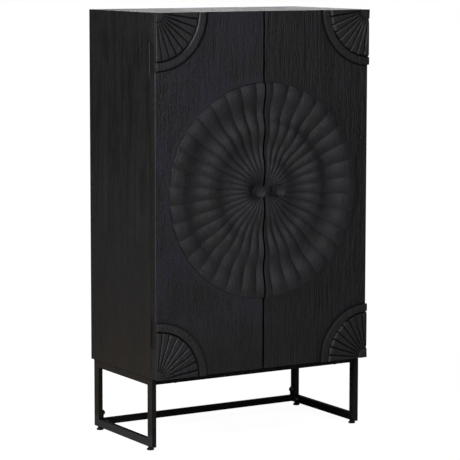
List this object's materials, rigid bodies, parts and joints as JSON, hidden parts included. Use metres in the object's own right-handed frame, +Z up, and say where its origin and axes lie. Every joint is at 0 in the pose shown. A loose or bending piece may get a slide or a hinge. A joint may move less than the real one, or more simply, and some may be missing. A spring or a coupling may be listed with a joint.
{
  "type": "tall cabinet",
  "caption": "Tall black cabinet with full-height hinged doors, a carved fluted medallion across them, fan carvings in the corners and a tube stand on levelling feet.",
  "frame": {"origin": "on the floor, in the middle of the width and of the overall depth", "axes": "+X to the cabinet's right seen from the front, +Y from the doors to the back, +Z up"},
  "size_m": [0.7576, 0.439, 1.302],
  "materials": {
    "stained_wood": "black-stained open-grain wood, satin",
    "inner_wood": "black-stained board, matt",
    "black_tube": "matt black powder coat",
    "dark_steel": "blackened steel",
    "zinc_steel": "zinc plated",
    "catch_plastic": "matt black"
  },
  "bodies": {
    "cabinet": {"back_panel": "inner_wood", "bottom_panel": "inner_wood", "front_cross_rail": "black_tube", "left_angle_plate": "black_tube", "left_bottom_hinge_body_leaf": "dark_steel", "left_bottom_rail": "black_tube", "left_catch": "catch_plastic", "left_front_leg": "black_tube", "left_leg_bolt": "dark_steel", "left_rail_bolt": "dark_steel", "left_rear_leg": "black_tube", "left_side_panel": "stained_wood", "left_top_hinge_body_leaf": "dark_steel", "left_top_rail": "black_tube", "rear_cross_rail": "black_tube", "right_angle_plate": "black_tube", "right_bottom_hinge_body_leaf": "dark_steel", "right_bottom_rail": "black_tube", "right_catch": "catch_plastic", "right_front_leg": "black_tube", "right_leg_bolt": "dark_steel", "right_rail_bolt": "dark_steel", "right_rear_leg": "black_tube", "right_side_panel": "stained_wood", "right_top_hinge_body_leaf": "dark_steel", "right_top_rail": "black_tube", "shelf_1": "inner_wood", "shelf_2": "inner_wood", "shelf_3": "inner_wood", "stand_screw_front_left": "dark_steel", "stand_screw_front_right": "dark_steel", "stand_screw_rear_left": "dark_steel", "stand_screw_rear_right": "dark_steel", "stretcher": "black_tube", "top_panel": "stained_wood"},
    "left_door": {"left_bottom_fan": "stained_wood", "left_bottom_hinge_door_leaf": "dark_steel", "left_door": "stained_wood", "left_knob": "stained_wood", "left_knob_screw": "zinc_steel", "left_medallion": "stained_wood", "left_strike": "zinc_steel", "left_top_fan": "stained_wood", "left_top_hinge_door_leaf": "dark_steel"},
    "right_door": {"right_bottom_fan": "stained_wood", "right_bottom_hinge_door_leaf": "dark_steel", "right_door": "stained_wood", "right_knob": "stained_wood", "right_knob_screw": "zinc_steel", "right_medallion": "stained_wood", "right_strike": "zinc_steel", "right_top_fan": "stained_wood", "right_top_hinge_door_leaf": "dark_steel"},
    "left_front_foot": {"left_front_foot": "dark_steel"},
    "left_rear_foot": {"left_rear_foot": "dark_steel"},
    "right_front_foot": {"right_front_foot": "dark_steel"},
    "right_rear_foot": {"right_rear_foot": "dark_steel"}
  },
  "joints": [
    {"name": "left_door_hinge", "type": "hinge", "parent": "cabinet", "child": "left_door", "pos_m": [-0.376, -0.1604, 0.761], "axis": [0, 0, -1], "range_deg": [0, 175]},
    {"name": "right_door_hinge", "type": "hinge", "parent": "cabinet", "child": "right_door", "pos_m": [0.376, -0.1604, 0.761], "axis": [0, 0, 1], "range_deg": [0, 175]},
    {"name": "left_front_foot_screw", "type": "slide", "parent": "cabinet", "child": "left_front_foot", "axis": [0, 0, -1], "range_m": [0, 0.01]},
    {"name": "left_rear_foot_screw", "type": "slide", "parent": "cabinet", "child": "left_rear_foot", "axis": [0, 0, -1], "range_m": [0, 0.01]},
    {"name": "right_front_foot_screw", "type": "slide", "parent": "cabinet", "child": "right_front_foot", "axis": [0, 0, -1], "range_m": [0, 0.01]},
    {"name": "right_rear_foot_screw", "type": "slide", "parent": "cabinet", "child": "right_rear_foot", "axis": [0, 0, -1], "range_m": [0, 0.01]}
  ]
}
